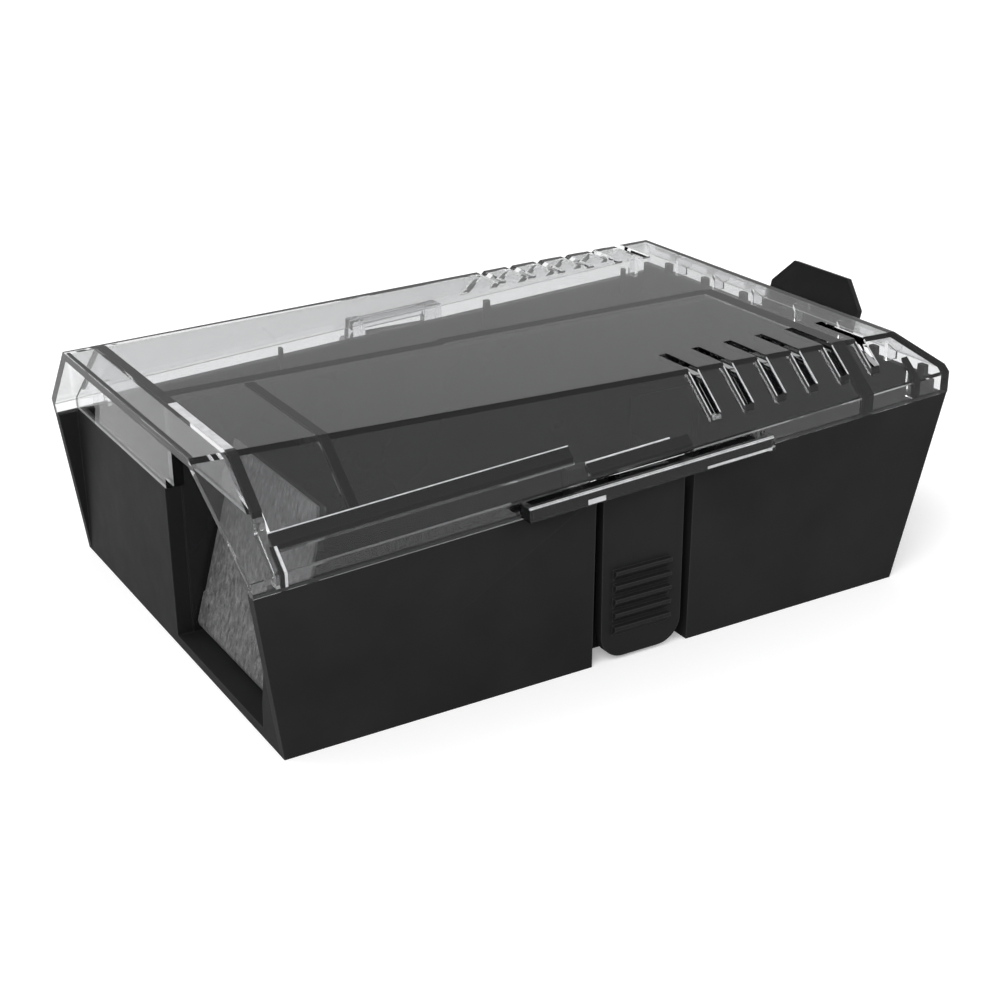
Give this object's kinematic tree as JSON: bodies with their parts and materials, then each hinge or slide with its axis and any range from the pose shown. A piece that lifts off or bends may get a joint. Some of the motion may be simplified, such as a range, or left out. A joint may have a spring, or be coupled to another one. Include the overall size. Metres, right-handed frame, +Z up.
{
  "type": "bait station",
  "caption": "Low black station with a hinged clear vented lid, a sprung tipping flap in its entrance, an inner lane, a bait tray, a thumb latch and a lift-up release gate.",
  "frame": {"origin": "on the flat underside, on the symmetry plane, midway along the rim", "axes": "+X along the station towards the release gate, +Y towards the lid hinge, +Z up"},
  "size_m": [0.1639, 0.1115, 0.0503],
  "materials": {
    "black_shell": "semi-gloss moulded plastic",
    "black_inner": "semi-gloss moulded plastic",
    "black_tab": "satin moulded plastic",
    "clear_lid": "clear polished plastic",
    "grip_pad": "mottled grained skin",
    "white_cup": "matte",
    "steel": "bright drawn",
    "spring_steel": "drawn wire"
  },
  "bodies": {
    "tub": {"base_tub": "black_shell", "lane_divider": "black_inner", "cross_wall": "black_inner", "divider_screws": "steel", "bait_tray": "black_inner", "bait_cup": "white_cup", "bait_rods": "steel", "gate_frame": "black_inner", "gate_frame_screws": "steel", "lid_hinge_pin": "steel", "hinge_pin_clip": "spring_steel", "latch_pivot_pin": "black_inner", "latch_spring": "spring_steel", "flap_pivot_pin": "steel", "flap_spring": "spring_steel"},
    "lid": {"lid_canopy": "clear_lid", "lid_hinge_frame": "clear_lid", "lid_catch": "clear_lid"},
    "latch": {"latch_lever": "black_shell"},
    "flap": {"flap_plate": "black_inner", "flap_grip_pad": "grip_pad"},
    "gate": {"release_gate": "black_tab"}
  },
  "joints": [
    {"name": "lid_hinge", "type": "hinge", "parent": "tub", "child": "lid", "pos_m": [0.0051, 0.0542, 0.0326], "axis": [-1, 0, 0], "range_deg": [0, 105]},
    {"name": "latch_rock", "type": "hinge", "parent": "tub", "child": "latch", "pos_m": [0.00185, -0.0469, 0.02], "axis": [1, 0, 0], "range_deg": [0, 8], "stiffness_Nm_per_rad": 0.15, "springref_deg": -5.73},
    {"name": "flap_tip", "type": "hinge", "parent": "tub", "child": "flap", "pos_m": [-0.065, -0.0215, 0.0044], "axis": [0, 1, 0], "range_deg": [0, 64], "stiffness_Nm_per_rad": 0.0016, "springref_deg": -28.65},
    {"name": "gate_lift", "type": "slide", "parent": "tub", "child": "gate", "axis": [0.2589, 0, 0.9659], "range_m": [0, 0.025]}
  ]
}
